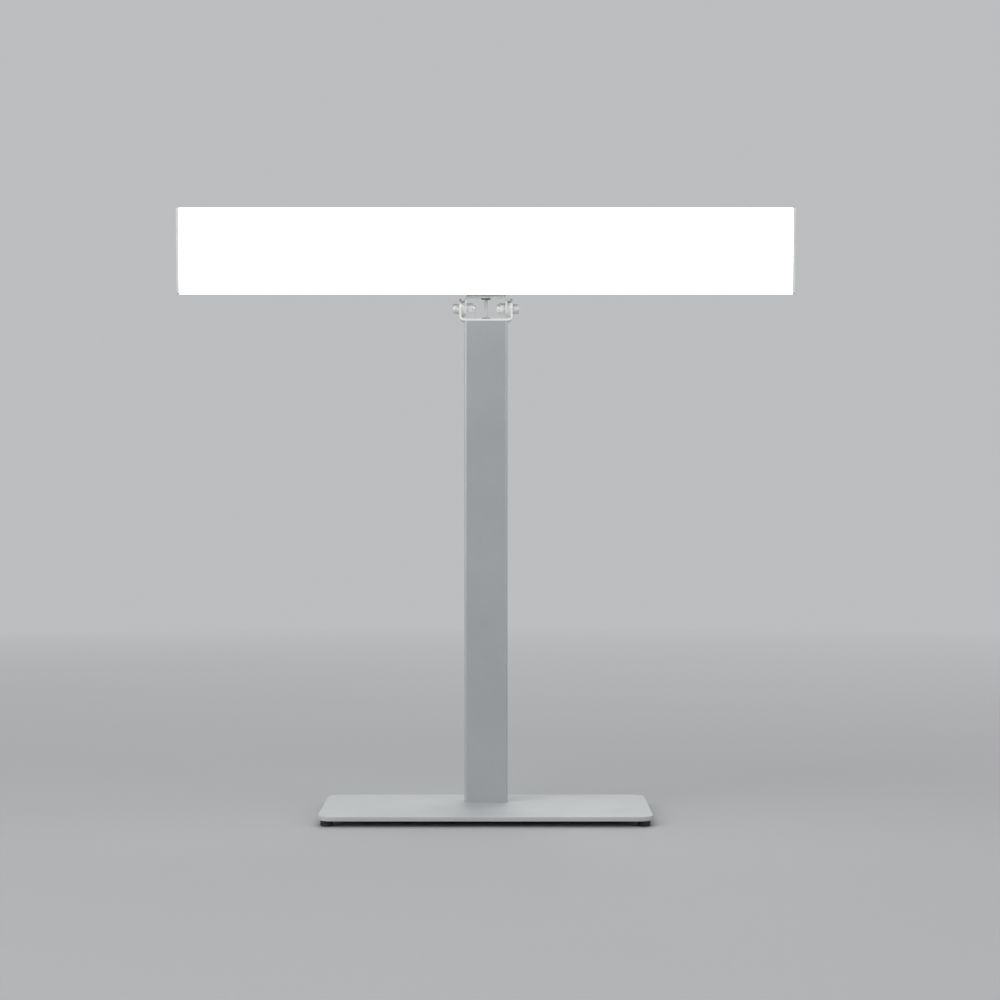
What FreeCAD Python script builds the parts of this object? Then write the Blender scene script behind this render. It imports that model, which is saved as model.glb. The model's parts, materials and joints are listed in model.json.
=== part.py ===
"""A light therapy lamp: a wide light panel that tilts on a flat post over a steel base plate.

Millimetres. The origin is on the table under the middle of the base, +Z is up and the light faces -Y.
"""

import FreeCAD, Part
import math
import os

from FreeCAD import Vector

# Base plate and feet
BASE_WIDTH = 315
BASE_DEPTH = 160
BASE_THICKNESS = 4.5
BASE_CORNER_RADIUS = 15
BASE_EDGE_RADIUS = 0.8
FOOT_DIAMETER = 12
FOOT_HEIGHT = 5.5
FOOT_EDGE_RADIUS = 1
FOOT_INSET_X = 9
FOOT_INSET_Y = 11

# Post, a rectangular tube with a block in each end
POST_WIDTH = 42
POST_DEPTH = 22
POST_HEIGHT = 470
POST_WALL = 2
POST_CORNER_RADIUS = 2.5
POST_BEHIND_MIDDLE = 31
BOTTOM_INSERT_HEIGHT = 16
TOP_INSERT_HEIGHT = 12
LEAD_HOLE = 5

# Hinge: the ears of the upper bracket turn inside the ears of the lower one
PIVOT_ABOVE_POST = 12.2
PIVOT_TO_HEAD = 14.2
LOWER_BRACKET_WIDTH = 52
LOWER_BRACKET_DEPTH = 20
LOWER_BRACKET_THICKNESS = 2
UPPER_BRACKET_DEPTH = 16
UPPER_BRACKET_THICKNESS = 2
PAD_THICKNESS = 1.8
PAD_WIDTH = 38
BEND_RADIUS = 2
PIVOT_THREAD = 6
PIVOT_SCREW_LENGTH = 16
PIVOT_HEAD_DIAMETER = 10
PIVOT_HEAD_HEIGHT = 6
PIVOT_SOCKET = 5
PIVOT_RUNNING_GAP = 0.06
FRICTION_WASHER_DIAMETER = 16
FRICTION_WASHER_THICKNESS = 3
INNER_WASHER_DIAMETER = 12
INNER_WASHER_THICKNESS = 1
NUT_ACROSS_FLATS = 10
NUT_HEIGHT = 7.5
NUT_RING_DIAMETER = 8
NUT_RING_HEIGHT = 2
TILT = 4.5

# Head, an aluminium channel closed by an opal cover and two end caps
HEAD_LENGTH = 594
HEAD_HEIGHT = 83
HEAD_DEPTH = 34
HEAD_CORNER_RADIUS = 2
PIVOT_BEHIND_FACE = 25
END_CAP_THICKNESS = 2.5
HOUSING_WALL = 2
DIFFUSER_WALL = 2
DIFFUSER_RETURN = 6
CLIP_THICKNESS = 1.2
CLIP_LENGTH = 2.6
CLIP_BARB = 0.5
CLIP_GAP = 0.1
FRONT_BOSS_HEIGHT = 6
REAR_BOSS = 5
REAR_BOSS_TO_UNDERSIDE = 14
SLOT_RIB = 1.4
SLOT_RIB_HEIGHT = 3
NUT_BAR_LENGTH = 52
NUT_BAR_THICKNESS = 4

# Light boards on their carrier plate
LIGHT_GAP = 13
LED_THICKNESS = 0.8
LED_WIDTH = 3.5
LED_HEIGHT = 2.8
BOARD_THICKNESS = 1.6
BOARD_LENGTH = 190
BOARD_HEIGHT = 64
BOARD_PITCH = 196
BOARD_COUNT = 3
LED_COLUMNS = 10
LED_ROWS = 3
LED_COLUMN_PITCH = 19.6
LED_ROW_PITCH = 24
CARRIER_THICKNESS = 1.5
CARRIER_LENGTH = 592
JUMPER_HEIGHT = 12
JUMPER_LENGTH = 14

# Driver board behind the carrier, to the right of the hinge as seen from the front
DRIVER_LEFT = 110
DRIVER_LENGTH = 110
DRIVER_HEIGHT = 43
STANDOFF_HEIGHT = 2.5
STANDOFF_DIAMETER = 5
TERMINAL_LENGTH = 8
TERMINAL_WIDTH = 10
TERMINAL_HEIGHT = 8
TERMINAL_PITCH = 5
TERMINAL_FROM_MIDDLE = 13.5
LED_PITCH_AT_CONNECTOR = 2
DRIVER_SCREW_INSET = (15, 5, 3.2)
COIL_FROM_LEFT = 45
COIL_SIZE = (12, 12, 6)
COIL_CORE = 6
COIL_GROOVE = 1.5
CAPACITOR_FROM_LEFT = 34
CAPACITOR_DIAMETER = 8
CAPACITOR_HEIGHT = 8
CONTROL_CHIP_FROM_LEFT = 68
CONTROL_CHIP = (6, 5, 1.6)
POWER_CHIP_FROM_LEFT = 80
POWER_CHIP = (6.6, 6.1, 2.3)
POWER_CHIP_SPACING = 14
LED_CONNECTOR = (4, 5, 4)
JACKET_END_TO_DRIVER = 18
CORE_STRAIGHT = 5
WIRE_SHIFT_START = 24
WIRE_SHIFT_END = 12

# Rocker switch in the back of the head, over the hinge
SWITCH_BEZEL = (21, 15, 2)
SWITCH_BODY = (19, 12.8, 10)
SWITCH_WINDOW = (16, 9.6)
SWITCH_WELL = 4
SWITCH_CUTOUT_GAP = 0.1
ROCKER_LENGTH = 14.4
ROCKER_WIDTH = 9.2
ROCKER_PIVOT_DEPTH = 1
ROCKER_BELOW_PIVOT = 1.5
ROCKER_ABOVE_PIVOT = 3.2
ROCKER_ANGLE = 8
ROCKER_STUB_DIAMETER = 2
ROCKER_STUB_LENGTH = 1
ROCKER_STUB_GAP = 0.05
BLADE = (0.8, 4, 4.8)
BLADE_SPACING = 10

# Leads, wires, grommets and the inlet
LEAD_DIAMETER = 3
LEAD_GAP = 0.05
WIRE_DIAMETER = 1.2
BEND_SHARE = 0.45
GROMMET_NECK = 6.5
GROMMET_FLANGE = 9
GROMMET_FLANGE_THICKNESS = 1.2
TIE_DIAMETER = 5.4
TIE_WIDTH = 2.5
TIE_BLOCK = 3
INLET_HEIGHT = 35
INLET_FLANGE = 12
INLET_FLANGE_THICKNESS = 2
INLET_BARREL = 8.6
INLET_BARREL_LENGTH = 11
INLET_BORE = 5.7
INLET_BORE_DEPTH = 9.5
INLET_PIN = 2.1
INLET_BARB = 0.8
INLET_TAB = (1, 0.8, 8.6)

# Screws
SCREW_CLEARANCE = 0.4
SOCKET_RATIO = 0.6
BASE_SCREW = 5
BASE_SCREW_LENGTH = 16
BASE_SCREW_X = 12
BRACKET_SCREW = 4
LOWER_BRACKET_SCREW_LENGTH = 12
UPPER_BRACKET_SCREW_LENGTH = 10
BRACKET_SCREW_X = 13
SMALL_SCREW = 3
SMALL_SCREW_LENGTH = 8
INSERT_SCREW_X = 6
BOARD_SCREW = 2.5
BOARD_SCREW_HEAD = 4.5
BOARD_SCREW_HEAD_HEIGHT = 1.2

# Levels and places that follow from the sizes above, in the lamp's frame
BASE_TOP = FOOT_HEIGHT + BASE_THICKNESS
POST_TOP = BASE_TOP + POST_HEIGHT
POST_BACK = POST_BEHIND_MIDDLE + POST_DEPTH / 2
PIVOT = Vector(0, POST_BEHIND_MIDDLE, POST_TOP + PIVOT_ABOVE_POST)
INLET_Z = BASE_TOP + INLET_HEIGHT

# Across the hinge, outwards from the middle
LOWER_EAR_OUTSIDE = LOWER_BRACKET_WIDTH / 2
LOWER_EAR_INSIDE = LOWER_EAR_OUTSIDE - LOWER_BRACKET_THICKNESS
UPPER_EAR_OUTSIDE = LOWER_EAR_INSIDE - FRICTION_WASHER_THICKNESS
UPPER_EAR_INSIDE = UPPER_EAR_OUTSIDE - UPPER_BRACKET_THICKNESS
NUT_OUTSIDE = UPPER_EAR_INSIDE - INNER_WASHER_THICKNESS
NUT_INSIDE = NUT_OUTSIDE - NUT_HEIGHT

# The head is laid out upright about the pivot, as the origin, and tilted last. From the face backwards:
FACE = -PIVOT_BEHIND_FACE
DIFFUSER_BACK = FACE + DIFFUSER_WALL
SEAM = FACE + DIFFUSER_RETURN
LED_FRONT = DIFFUSER_BACK + LIGHT_GAP
BOARD_FRONT = LED_FRONT + LED_THICKNESS
CARRIER_FRONT = BOARD_FRONT + BOARD_THICKNESS
CARRIER_BACK = CARRIER_FRONT + CARRIER_THICKNESS
DRIVER_FRONT = CARRIER_BACK + STANDOFF_HEIGHT
DRIVER_BACK = DRIVER_FRONT + BOARD_THICKNESS
HEAD_BACK = FACE + HEAD_DEPTH
HEAD_INSIDE_BACK = HEAD_BACK - HOUSING_WALL
TERMINAL_ENTRY = DRIVER_BACK + TERMINAL_HEIGHT / 3
CLIP_BACK = SEAM + CLIP_LENGTH
GROOVE_FRONT = CLIP_BACK - CLIP_THICKNESS - 2 * CLIP_GAP
GROOVE_BACK = CLIP_BACK + 2 * CLIP_GAP
SLOT_FRONT = CARRIER_FRONT - CLIP_GAP
SLOT_BACK = CARRIER_BACK + CLIP_GAP
REAR_BOSS_FRONT = HEAD_INSIDE_BACK - REAR_BOSS

# From the underside upwards:
UNDERSIDE = PIVOT_TO_HEAD
WEB_TOP = UNDERSIDE - PAD_THICKNESS
WEB_BOTTOM = WEB_TOP - UPPER_BRACKET_THICKNESS
HEAD_FLOOR = UNDERSIDE + HOUSING_WALL
HEAD_MIDDLE = UNDERSIDE + HEAD_HEIGHT / 2
HEAD_TOP = UNDERSIDE + HEAD_HEIGHT
HEAD_GROMMET_BOTTOM = WEB_BOTTOM - GROMMET_FLANGE_THICKNESS
POST_GROMMET_TOP = LOWER_BRACKET_THICKNESS + GROMMET_FLANGE_THICKNESS - PIVOT_ABOVE_POST

CLOSE = 1e-3
UP = Vector(0, 0, 1)
DOWN = Vector(0, 0, -1)
RIGHT = Vector(1, 0, 0)
FORWARD = Vector(0, -1, 0)
BACKWARD = Vector(0, 1, 0)
SIDES = (-1, 1)


# Shapes

def slab(x, y, z):
    """A block between two values on each axis."""
    return Part.makeBox(x[1] - x[0], y[1] - y[0], z[1] - z[0], Vector(x[0], y[0], z[0]))


def centred(size):
    """The two values at half of size either side of zero."""
    return (-size / 2, size / 2)


def aimed(shape, start, direction):
    """A shape that was built from the origin along +Z, moved to start and turned along direction."""
    shape.Placement = FreeCAD.Placement(Vector(start), FreeCAD.Rotation(UP, direction))
    return shape


def rod(start, direction, diameter, length):
    """A round bar."""
    return Part.makeCylinder(diameter / 2, length, Vector(start), direction)


def ring(start, direction, outside, inside, length):
    """A washer or a short tube."""
    return rod(start, direction, outside, length).cut(rod(start, direction, inside, length))


def hexagon_bar(across_flats, length):
    """A six-sided bar from the origin along +Z."""
    radius = across_flats / math.sqrt(3)
    corners = [
        Vector(radius * math.cos(math.radians(a)), radius * math.sin(math.radians(a)), 0)
        for a in range(30, 360, 60)
    ]
    return Part.Face(Part.makePolygon(corners + corners[:1])).extrude(Vector(0, 0, length))


def prism_x(points, length):
    """An outline in Y and Z, carried along X and centred on it."""
    outline = [Vector(-length / 2, y, z) for y, z in points]
    return Part.Face(Part.makePolygon(outline + outline[:1])).extrude(Vector(length, 0, 0))


def edges_through(shape, direction, *places):
    """The straight edges of shape along direction that lie on a line through one of places."""
    found = []
    for edge in shape.Edges:
        along = edge.Vertexes[-1].Point - edge.Vertexes[0].Point
        if along.Length < CLOSE or along.cross(direction).Length > CLOSE * along.Length:
            continue
        for place in places:
            if (edge.CenterOfMass - place).cross(direction).Length < CLOSE:
                found.append(edge)
    return found


def rounded_upright(shape, radius):
    """The shape with its upright edges rounded."""
    upright = [e for e in shape.Edges if abs(e.BoundBox.ZLength - shape.BoundBox.ZLength) < CLOSE]
    return shape.makeFillet(radius, upright)


def countersunk_screw(start, direction, thread, length):
    """A countersunk socket screw, with the middle of its flat head at start."""
    head = Part.makeCone(thread, thread / 2, thread / 2)
    shank = Part.makeCylinder(thread / 2, length)
    socket = hexagon_bar(SOCKET_RATIO * thread, thread / 2)
    return aimed(head.fuse(shank).cut(socket), start, direction)


def countersunk_hole(start, direction, thread, length):
    """The hole that a countersunk screw goes through, with some room round its shank."""
    seat = Part.makeCone(thread, thread / 2, thread / 2)
    hole = Part.makeCylinder((thread + SCREW_CLEARANCE) / 2, length)
    return aimed(seat.fuse(hole), start, direction)


def pan_screw(start, direction, through):
    """A small pan-head screw whose head stands on the surface at start."""
    head = rod(start, -direction, BOARD_SCREW_HEAD, BOARD_SCREW_HEAD_HEIGHT)
    return head.fuse(rod(start, direction, BOARD_SCREW, through))


def arc_radius(before, point, after):
    """The bend radius at a point of a lead's route, as large as its two runs allow, and half the turn."""
    incoming = point - before
    outgoing = after - point
    half_turn = incoming.getAngle(outgoing) / 2
    return BEND_SHARE * min(incoming.Length, outgoing.Length) / math.tan(half_turn), half_turn


def lead_along(name, points, diameter):
    """A lead along straight runs joined by tangent arcs. Prints its bend radii, its length and its volume."""
    route = [Vector(p) for p in points]
    edges = []
    radii = []
    last = route[0]
    for before, point, after in zip(route, route[1:], route[2:]):
        radius, half_turn = arc_radius(before, point, after)
        back = (before - point).normalize()
        on = (after - point).normalize()
        inward = (back + on).normalize()
        start = point + back * (radius * math.tan(half_turn))
        end = point + on * (radius * math.tan(half_turn))
        middle = point + inward * (radius / math.cos(half_turn) - radius)
        edges.append(Part.LineSegment(last, start).toShape())
        edges.append(Part.Arc(start, middle, end).toShape())
        radii.append(round(radius, 1))
        last = end
    edges.append(Part.LineSegment(last, route[-1]).toShape())
    path = Part.Wire(edges)
    section = Part.Wire(Part.Circle(route[0], route[1] - route[0], diameter / 2).toShape())
    solid = path.makePipeShell([section], True, False)
    expected = math.pi * diameter**2 / 4 * path.Length
    print(f"{name}: radii {radii}, length {path.Length:.1f}, volume {solid.Volume:.1f} of {expected:.1f}")
    return solid


def mirrored_outline(lower):
    """An outline of the head's cross-section, from the points of its lower half."""
    upper = [(y, 2 * HEAD_MIDDLE - z) for y, z in reversed(lower)]
    return lower + upper


def on_head(shape):
    """A shape of the upright head, about the pivot, moved to its place on the lamp with the head's tilt."""
    tilt = FreeCAD.Placement(PIVOT, FreeCAD.Rotation(RIGHT, TILT))
    placed = shape.copy()
    placed.Placement = tilt.multiply(shape.Placement)
    return placed


def on_hinge(shape):
    """A shape about the pivot that doesn't tilt, moved to its place on the lamp."""
    return shape.translated(PIVOT)


# Base

def base_plate():
    plate = slab(centred(BASE_WIDTH), centred(BASE_DEPTH), (FOOT_HEIGHT, BASE_TOP))
    plate = rounded_upright(plate, BASE_CORNER_RADIUS)
    rims = [e for e in plate.Edges if e.BoundBox.ZLength < CLOSE]
    plate = plate.makeFillet(BASE_EDGE_RADIUS, rims)
    for screw in base_screw_places():
        plate = plate.cut(countersunk_hole(screw, UP, BASE_SCREW, BASE_THICKNESS))
    return plate


def rubber_feet():
    feet = []
    for x in SIDES:
        for y in SIDES:
            place = (x * (BASE_WIDTH / 2 - FOOT_INSET_X), y * (BASE_DEPTH / 2 - FOOT_INSET_Y), 0)
            foot = rod(place, UP, FOOT_DIAMETER, FOOT_HEIGHT)
            bottom = [e for e in foot.Edges if e.BoundBox.ZMax < FOOT_HEIGHT / 2]
            feet.append(foot.makeFillet(FOOT_EDGE_RADIUS, bottom))
    return Part.makeCompound(feet)


def base_screw_places():
    return [Vector(side * BASE_SCREW_X, POST_BEHIND_MIDDLE, FOOT_HEIGHT) for side in SIDES]


def base_screws():
    return Part.makeCompound(
        [countersunk_screw(p, UP, BASE_SCREW, BASE_SCREW_LENGTH) for p in base_screw_places()]
    )


# Post

def post_bar(width, depth, bottom, top):
    """A rectangular bar on the post's line."""
    middle = POST_BEHIND_MIDDLE
    return slab(centred(width), (middle - depth / 2, middle + depth / 2), (bottom, top))


def post_inside(bottom, top):
    """A bar that fills the inside of the tube."""
    bar = post_bar(POST_WIDTH - 2 * POST_WALL, POST_DEPTH - 2 * POST_WALL, bottom, top)
    return rounded_upright(bar, POST_CORNER_RADIUS - POST_WALL)


def insert_screw_places():
    """Where the screws enter the back of the tube, in line with the middle of each block."""
    heights = (BASE_TOP + BOTTOM_INSERT_HEIGHT / 2, POST_TOP - TOP_INSERT_HEIGHT / 2)
    return [Vector(side * INSERT_SCREW_X, POST_BACK, z) for z in heights for side in SIDES]


def post_tube():
    tube = rounded_upright(post_bar(POST_WIDTH, POST_DEPTH, BASE_TOP, POST_TOP), POST_CORNER_RADIUS)
    tube = tube.cut(post_inside(BASE_TOP, POST_TOP))
    for place in insert_screw_places():
        tube = tube.cut(countersunk_hole(place, FORWARD, SMALL_SCREW, POST_WALL))
    return tube.cut(rod((0, POST_BACK, INLET_Z), FORWARD, INLET_BARREL, POST_WALL))


def post_bottom_insert():
    block = post_inside(BASE_TOP, BASE_TOP + BOTTOM_INSERT_HEIGHT)
    for place in base_screw_places():
        block = block.cut(rod(place, UP, BASE_SCREW, BASE_THICKNESS + BOTTOM_INSERT_HEIGHT))
    for place in insert_screw_places():
        block = block.cut(rod(place, FORWARD, SMALL_SCREW, SMALL_SCREW_LENGTH))
    return block


def post_top_insert():
    block = post_inside(POST_TOP - TOP_INSERT_HEIGHT, POST_TOP)
    top = (0, POST_BEHIND_MIDDLE, POST_TOP)
    for side in SIDES:
        place = (side * BRACKET_SCREW_X, POST_BEHIND_MIDDLE, POST_TOP)
        block = block.cut(rod(place, DOWN, BRACKET_SCREW, TOP_INSERT_HEIGHT))
    for place in insert_screw_places():
        block = block.cut(rod(place, FORWARD, SMALL_SCREW, SMALL_SCREW_LENGTH))
    block = block.cut(rod(top, DOWN, LEAD_HOLE, TOP_INSERT_HEIGHT))
    return block.cut(rod(top, DOWN, GROMMET_FLANGE, GROMMET_FLANGE_THICKNESS))


def insert_screws():
    return Part.makeCompound(
        [countersunk_screw(p, FORWARD, SMALL_SCREW, SMALL_SCREW_LENGTH) for p in insert_screw_places()]
    )


# Inlet in the back of the post

def inlet_housing():
    outside = Vector(0, POST_BACK + INLET_FLANGE_THICKNESS, INLET_Z)
    body = rod(outside, FORWARD, INLET_FLANGE, INLET_FLANGE_THICKNESS)
    body = body.fuse(rod((0, POST_BACK, INLET_Z), FORWARD, INLET_BARREL, INLET_BARREL_LENGTH))
    barb_reach = INLET_BARREL / 2 + INLET_BARB
    barbs = slab(
        (-barb_reach, barb_reach),
        (POST_BACK - 2 * POST_WALL, POST_BACK - POST_WALL),
        (INLET_Z - INLET_BARB, INLET_Z + INLET_BARB),
    )
    body = body.fuse(barbs)
    body = body.cut(rod(outside, FORWARD, INLET_BORE, INLET_BORE_DEPTH))
    return body.cut(rod(outside, FORWARD, INLET_PIN, INLET_FLANGE_THICKNESS + INLET_BARREL_LENGTH))


def inlet_pin():
    """The centre pin, a little back from the flange."""
    start = Vector(0, POST_BACK + INLET_FLANGE_THICKNESS / 2, INLET_Z)
    return rod(start, FORWARD, INLET_PIN, INLET_FLANGE_THICKNESS / 2 + INLET_BARREL_LENGTH)


def inlet_contacts():
    """Two tabs behind the barrel that turn up to the lead's end."""
    width, thickness, length = INLET_TAB
    back = POST_BACK - INLET_BARREL_LENGTH
    tabs = []
    for side in SIDES:
        tab = slab(centred(width), (back - thickness, back), (INLET_Z, INLET_Z + length))
        tabs.append(tab.translated(RIGHT * side * width))
    return Part.makeCompound(tabs)


def post_lead():
    """The lead up the middle of the post, from the contacts to the top of the grommet."""
    line = POST_BEHIND_MIDDLE
    bottom = INLET_Z + INLET_TAB[2]
    top = PIVOT.z + POST_GROMMET_TOP
    return rod((0, line, bottom), UP, LEAD_DIAMETER, top - bottom)


def tie_round_lead(bottom):
    """A cable tie with its square catch, round an upright lead at the origin."""
    band = ring(bottom, UP, TIE_DIAMETER, LEAD_DIAMETER + 2 * LEAD_GAP, TIE_WIDTH)
    reach = (LEAD_DIAMETER / 2 + 2 * LEAD_GAP, TIE_DIAMETER / 2 + TIE_BLOCK)
    catch = slab(centred(TIE_BLOCK), reach, (0, TIE_WIDTH))
    return band.fuse(catch.translated(bottom))


def post_lead_tie():
    """The tie under the top block, so that a pull on the lead stops there."""
    return tie_round_lead(Vector(0, POST_BEHIND_MIDDLE, POST_TOP - TOP_INSERT_HEIGHT - TIE_WIDTH))


# Hinge

def u_bracket(width, depth, thickness, bottom, top):
    """A U of bent sheet, open at the top, with both bends rounded."""
    outside = slab(centred(width), centred(depth), (bottom, top))
    inside = slab(centred(width - 2 * thickness), centred(depth), (bottom + thickness, top))
    outer_corners = [Vector(side * width / 2, 0, bottom) for side in SIDES]
    inner_corners = [Vector(side * (width / 2 - thickness), 0, bottom + thickness) for side in SIDES]
    outside = outside.makeFillet(BEND_RADIUS + thickness, edges_through(outside, BACKWARD, *outer_corners))
    inside = inside.makeFillet(BEND_RADIUS, edges_through(inside, BACKWARD, *inner_corners))
    return outside.cut(inside)


def round_ended(width, depth, bottom):
    """A bar about the pivot, square below and round on top, that gives a bracket's ears their round ends."""
    square = slab(centred(width), centred(depth), (bottom, 0))
    return square.fuse(rod((-width / 2, 0, 0), RIGHT, depth, width))


def lower_bracket():
    ear_radius = LOWER_BRACKET_DEPTH / 2
    bracket = u_bracket(
        LOWER_BRACKET_WIDTH, LOWER_BRACKET_DEPTH, LOWER_BRACKET_THICKNESS, -PIVOT_ABOVE_POST, ear_radius
    )
    bracket = bracket.common(round_ended(LOWER_BRACKET_WIDTH, LOWER_BRACKET_DEPTH, -PIVOT_ABOVE_POST))
    bracket = bracket.cut(rod((-LOWER_EAR_OUTSIDE, 0, 0), RIGHT, PIVOT_THREAD, LOWER_BRACKET_WIDTH))
    for place in lower_bracket_screw_places():
        bracket = bracket.cut(countersunk_hole(place, DOWN, BRACKET_SCREW, LOWER_BRACKET_THICKNESS))
    web = rod((0, 0, -PIVOT_ABOVE_POST), UP, GROMMET_NECK, LOWER_BRACKET_THICKNESS)
    return on_hinge(bracket.cut(web))


def lower_bracket_screw_places():
    top = LOWER_BRACKET_THICKNESS - PIVOT_ABOVE_POST
    return [Vector(side * BRACKET_SCREW_X, 0, top) for side in SIDES]


def lower_bracket_screws():
    screws = [
        countersunk_screw(p, DOWN, BRACKET_SCREW, LOWER_BRACKET_SCREW_LENGTH)
        for p in lower_bracket_screw_places()
    ]
    return on_hinge(Part.makeCompound(screws))


def upper_bracket_screw_places():
    return [Vector(side * BRACKET_SCREW_X, 0, WEB_BOTTOM) for side in SIDES]


def upper_bracket():
    ear_radius = UPPER_BRACKET_DEPTH / 2
    width = 2 * UPPER_EAR_OUTSIDE
    bracket = u_bracket(width, UPPER_BRACKET_DEPTH, UPPER_BRACKET_THICKNESS, -WEB_TOP, ear_radius)
    bracket = bracket.common(round_ended(width, UPPER_BRACKET_DEPTH, -WEB_TOP))
    bore = PIVOT_THREAD + 2 * PIVOT_RUNNING_GAP
    bracket = bracket.cut(rod((-width / 2, 0, 0), RIGHT, bore, width))
    bracket = bracket.mirror(Vector(0, 0, 0), UP)
    for place in upper_bracket_screw_places():
        bracket = bracket.cut(countersunk_hole(place, UP, BRACKET_SCREW, UPPER_BRACKET_THICKNESS))
    web = rod((0, 0, WEB_BOTTOM), UP, GROMMET_NECK, UPPER_BRACKET_THICKNESS)
    return on_head(bracket.cut(web))


def bracket_pad():
    """The nylon pad that keeps the steel bracket off the head's aluminium."""
    pad = slab(centred(PAD_WIDTH), centred(UPPER_BRACKET_DEPTH), (WEB_TOP, UNDERSIDE))
    pad = rounded_upright(pad, BEND_RADIUS)
    for place in upper_bracket_screw_places():
        clearance = BRACKET_SCREW + SCREW_CLEARANCE
        pad = pad.cut(rod((place.x, 0, WEB_TOP), UP, clearance, PAD_THICKNESS))
    return on_head(pad.cut(rod((0, 0, WEB_TOP), UP, GROMMET_NECK, PAD_THICKNESS)))


def upper_bracket_screws():
    screws = [
        countersunk_screw(p, UP, BRACKET_SCREW, UPPER_BRACKET_SCREW_LENGTH)
        for p in upper_bracket_screw_places()
    ]
    return on_head(Part.makeCompound(screws))


def pivot_screw(side):
    """A cap screw that enters one side of the hinge."""
    inward = RIGHT * -side
    top = Vector(side * (LOWER_EAR_OUTSIDE + PIVOT_HEAD_HEIGHT), 0, 0)
    head = rod(top, inward, PIVOT_HEAD_DIAMETER, PIVOT_HEAD_HEIGHT)
    rim = [e for e in head.Edges if abs(e.CenterOfMass.x - top.x) < CLOSE]
    head = head.makeFillet(BASE_EDGE_RADIUS, rim)
    shank = rod((side * LOWER_EAR_OUTSIDE, 0, 0), inward, PIVOT_THREAD, PIVOT_SCREW_LENGTH)
    socket = aimed(hexagon_bar(PIVOT_SOCKET, PIVOT_HEAD_HEIGHT / 2), top, inward)
    return head.fuse(shank).cut(socket)


def pivot_screws():
    return on_hinge(Part.makeCompound([pivot_screw(side) for side in SIDES]))


def hinge_rings(outside_face, diameter, thickness):
    """A washer on each pivot screw, inwards from the given face."""
    rings = [
        ring((side * outside_face, 0, 0), RIGHT * -side, diameter, PIVOT_THREAD, thickness)
        for side in SIDES
    ]
    return on_hinge(Part.makeCompound(rings))


def friction_washers():
    return hinge_rings(LOWER_EAR_INSIDE, FRICTION_WASHER_DIAMETER, FRICTION_WASHER_THICKNESS)


def inner_washers():
    return hinge_rings(UPPER_EAR_INSIDE, INNER_WASHER_DIAMETER, INNER_WASHER_THICKNESS)


def lock_nut(side):
    """A lock nut, with a recess in its inner end for the nylon ring."""
    inward = RIGHT * -side
    start = Vector(side * NUT_OUTSIDE, 0, 0)
    nut = aimed(hexagon_bar(NUT_ACROSS_FLATS, NUT_HEIGHT), start, inward)
    nut = nut.cut(rod(start, inward, PIVOT_THREAD, NUT_HEIGHT))
    recess = rod((side * (NUT_INSIDE + NUT_RING_HEIGHT), 0, 0), inward, NUT_RING_DIAMETER, NUT_RING_HEIGHT)
    return nut.cut(recess)


def lock_nuts():
    return on_hinge(Part.makeCompound([lock_nut(side) for side in SIDES]))


def nut_rings():
    return hinge_rings(NUT_INSIDE + NUT_RING_HEIGHT, NUT_RING_DIAMETER, NUT_RING_HEIGHT)


def grommet(bottom, neck):
    """A rubber grommet with a flange at each end of its neck, upright from bottom."""
    low = Vector(0, 0, bottom)
    body = rod(low, UP, GROMMET_FLANGE, GROMMET_FLANGE_THICKNESS)
    body = body.fuse(rod(low, UP, GROMMET_NECK, neck + 2 * GROMMET_FLANGE_THICKNESS))
    high = low + UP * (neck + GROMMET_FLANGE_THICKNESS)
    body = body.fuse(rod(high, UP, GROMMET_FLANGE, GROMMET_FLANGE_THICKNESS))
    bore = LEAD_DIAMETER + 2 * LEAD_GAP
    return body.cut(rod(low, UP, bore, neck + 2 * GROMMET_FLANGE_THICKNESS))


def post_grommet():
    return on_hinge(grommet(-PIVOT_ABOVE_POST - GROMMET_FLANGE_THICKNESS, LOWER_BRACKET_THICKNESS))


def head_grommet():
    return on_head(grommet(HEAD_GROMMET_BOTTOM, HEAD_FLOOR - WEB_BOTTOM))


def hinge_lead():
    """The lead between the two grommets. Its bend is at the pivot, where the head's tilt turns it."""
    lean = math.radians(TILT)
    top = Vector(0, -HEAD_GROMMET_BOTTOM * math.sin(lean), HEAD_GROMMET_BOTTOM * math.cos(lean))
    points = [(0, 0, POST_GROMMET_TOP), (0, 0, 0), top]
    return on_hinge(lead_along("hinge_lead", points, LEAD_DIAMETER))


# Head

def end_screw_places():
    """Where the end cap screws go, in the head's cross-section: two front bosses and two on the back wall."""
    front = ((GROOVE_BACK + SLOT_FRONT) / 2, HEAD_FLOOR + FRONT_BOSS_HEIGHT / 2)
    rear = (HEAD_INSIDE_BACK - REAR_BOSS / 2, UNDERSIDE + REAR_BOSS_TO_UNDERSIDE)
    return mirrored_outline([front, rear])


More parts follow.
